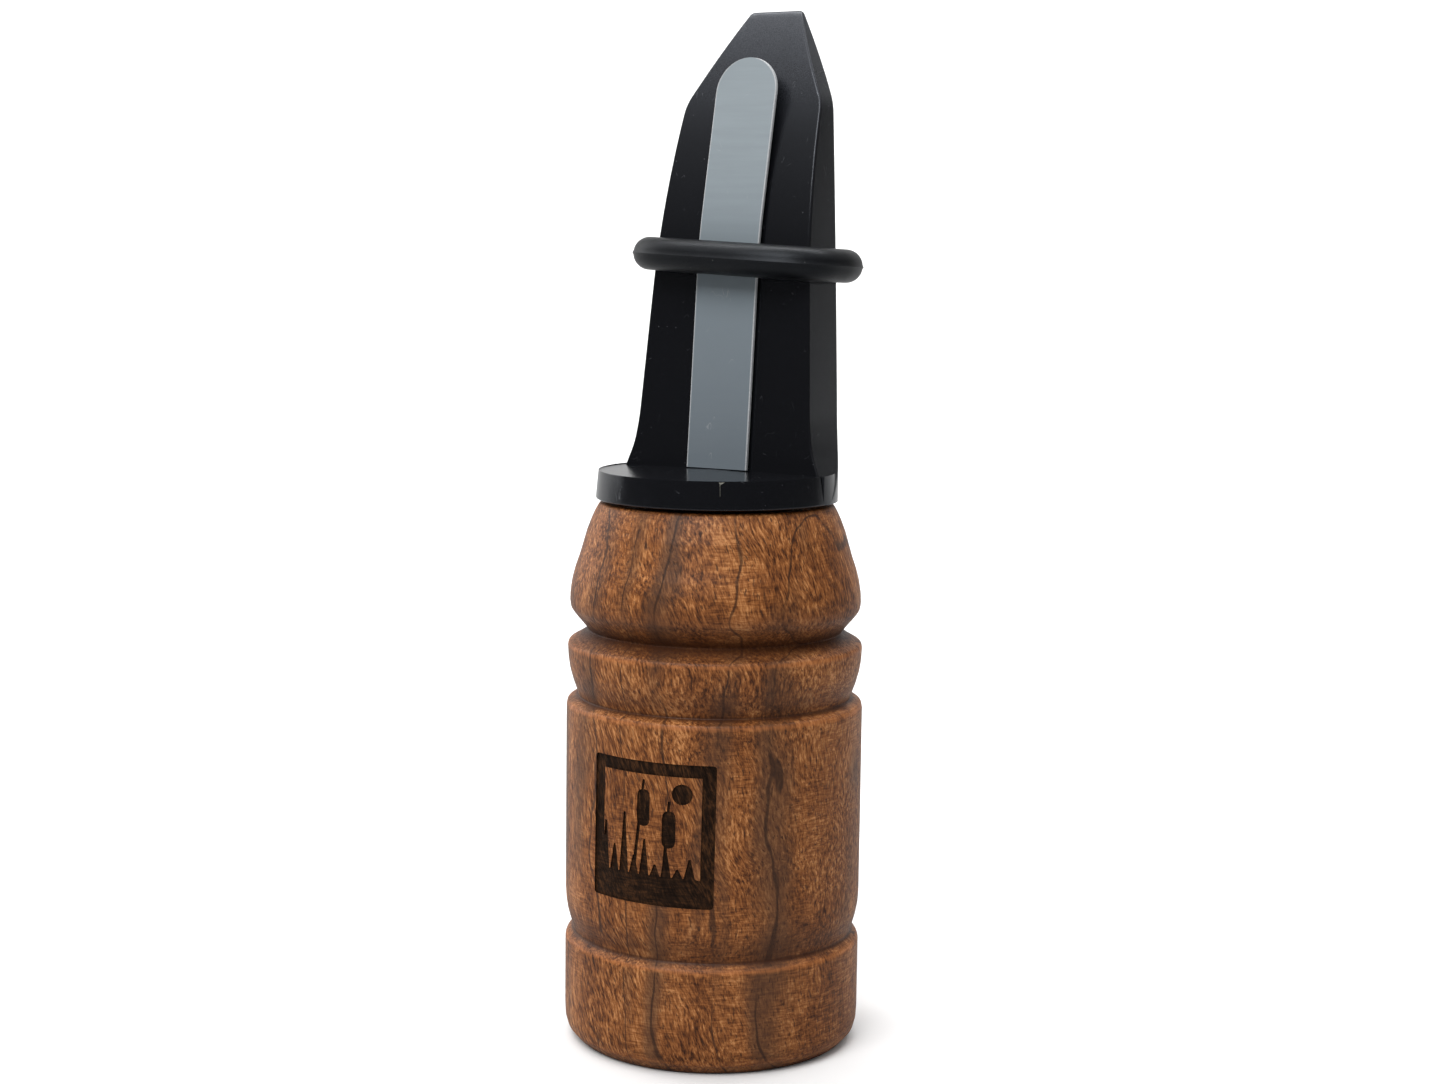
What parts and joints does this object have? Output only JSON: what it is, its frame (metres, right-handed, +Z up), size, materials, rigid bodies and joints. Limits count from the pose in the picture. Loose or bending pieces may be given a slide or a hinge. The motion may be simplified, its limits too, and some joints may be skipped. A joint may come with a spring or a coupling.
{
  "type": "open-reed game call",
  "caption": "Hand-held game call: a turned hardwood barrel, a plug-in moulded mouthpiece with a reed on its flat face, and a rubber tuning ring.",
  "frame": {"origin": "centre of the barrel's foot, on the surface that it stands on", "axes": "+Z up the barrel's axis towards the mouthpiece's tip; the mouthpiece's flat reed face looks towards -Y"},
  "size_m": [0.0312, 0.0312, 0.1086],
  "materials": {
    "wood": "satin",
    "moulding": "gloss",
    "reed": "satin",
    "rubber": "matte"
  },
  "bodies": {
    "barrel": {"barrel": "wood"},
    "tenon_seals": {"tenon_seal_upper": "rubber", "tenon_seal_lower": "rubber"},
    "mouthpiece": {"mouthpiece": "moulding", "reed_tail": "reed"},
    "tuning_band": {"tuning_band": "rubber"},
    "reed_tongue": {"reed_tongue": "reed"}
  },
  "joints": [
    {"name": "mouthpiece_pull", "type": "slide", "parent": "barrel", "child": "tenon_seals", "axis": [0, 0, 1], "range_m": [0, 0.024]},
    {"name": "mouthpiece_turn", "type": "hinge", "parent": "tenon_seals", "child": "mouthpiece", "pos_m": [0, 0, 0.0575], "axis": [0, 0, 1], "continuous": true},
    {"name": "band_slide", "type": "slide", "parent": "mouthpiece", "child": "tuning_band", "axis": [0, 0.0837, 0.9965], "range_m": [-0.012, 0.009], "deforming": ["tuning_band"]},
    {"name": "reed_flex", "type": "hinge", "parent": "mouthpiece", "child": "reed_tongue", "pos_m": [0, 0.0018, 0.0824], "axis": [1, 0, 0], "range_deg": [-1.2, 1.5], "stiffness_Nm_per_rad": 0.01}
  ]
}
